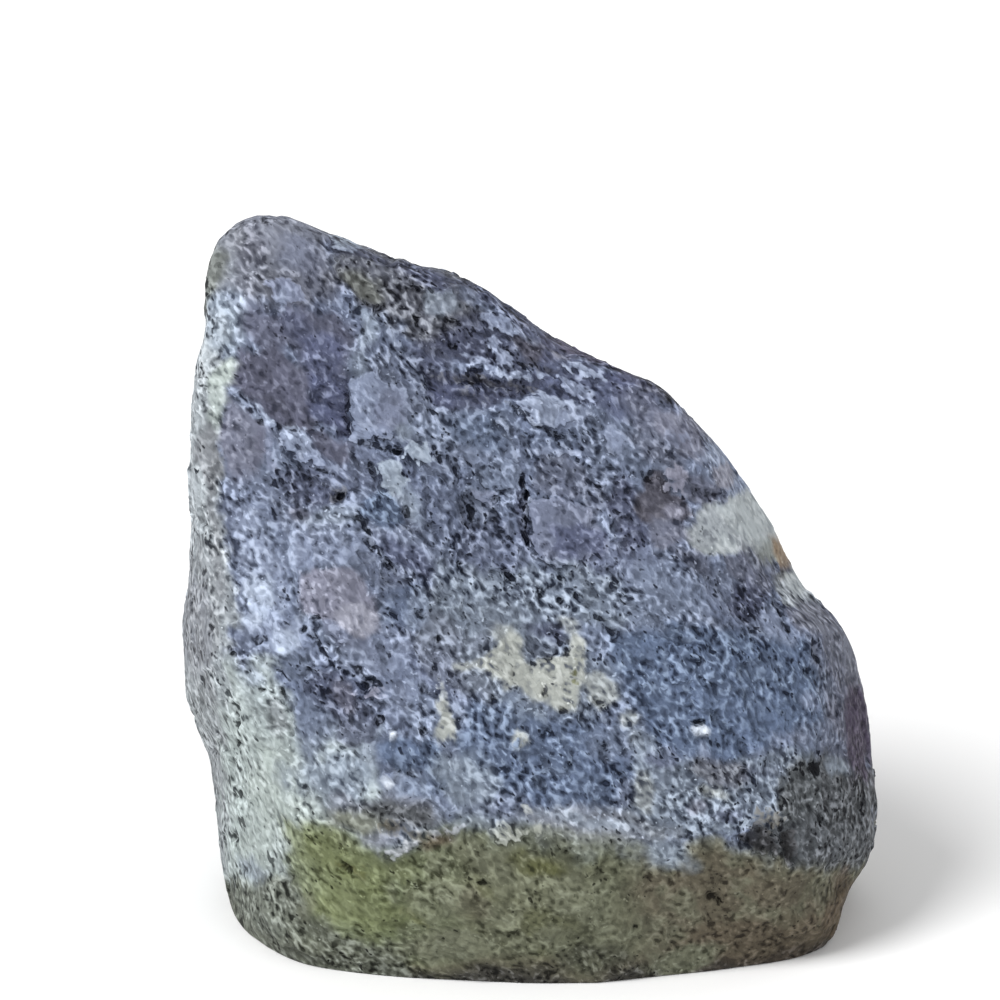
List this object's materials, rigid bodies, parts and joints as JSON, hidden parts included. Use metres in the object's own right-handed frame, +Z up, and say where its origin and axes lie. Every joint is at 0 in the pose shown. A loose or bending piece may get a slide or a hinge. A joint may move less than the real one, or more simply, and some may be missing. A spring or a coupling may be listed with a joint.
{
  "type": "raw iolite",
  "caption": "Rough unworked chunk of blue-violet stone: tall slanted wedge with a rounded tip, a broad sloping front face, worn edges and a flat underside.",
  "frame": {"origin": "on the resting plane, under the middle of the stone's box", "axes": "+Z up, out of the stone's flat underside, towards its tip; +Y to the stone's back, square to its broad front, along its shortest extent; +X to its right"},
  "size_m": [0.0698, 0.0552, 0.0698],
  "materials": {
    "iolite": "rough broken stone, matt with fine glints"
  },
  "bodies": {
    "root": {"iolite_stone": "iolite"}
  },
  "joints": []
}
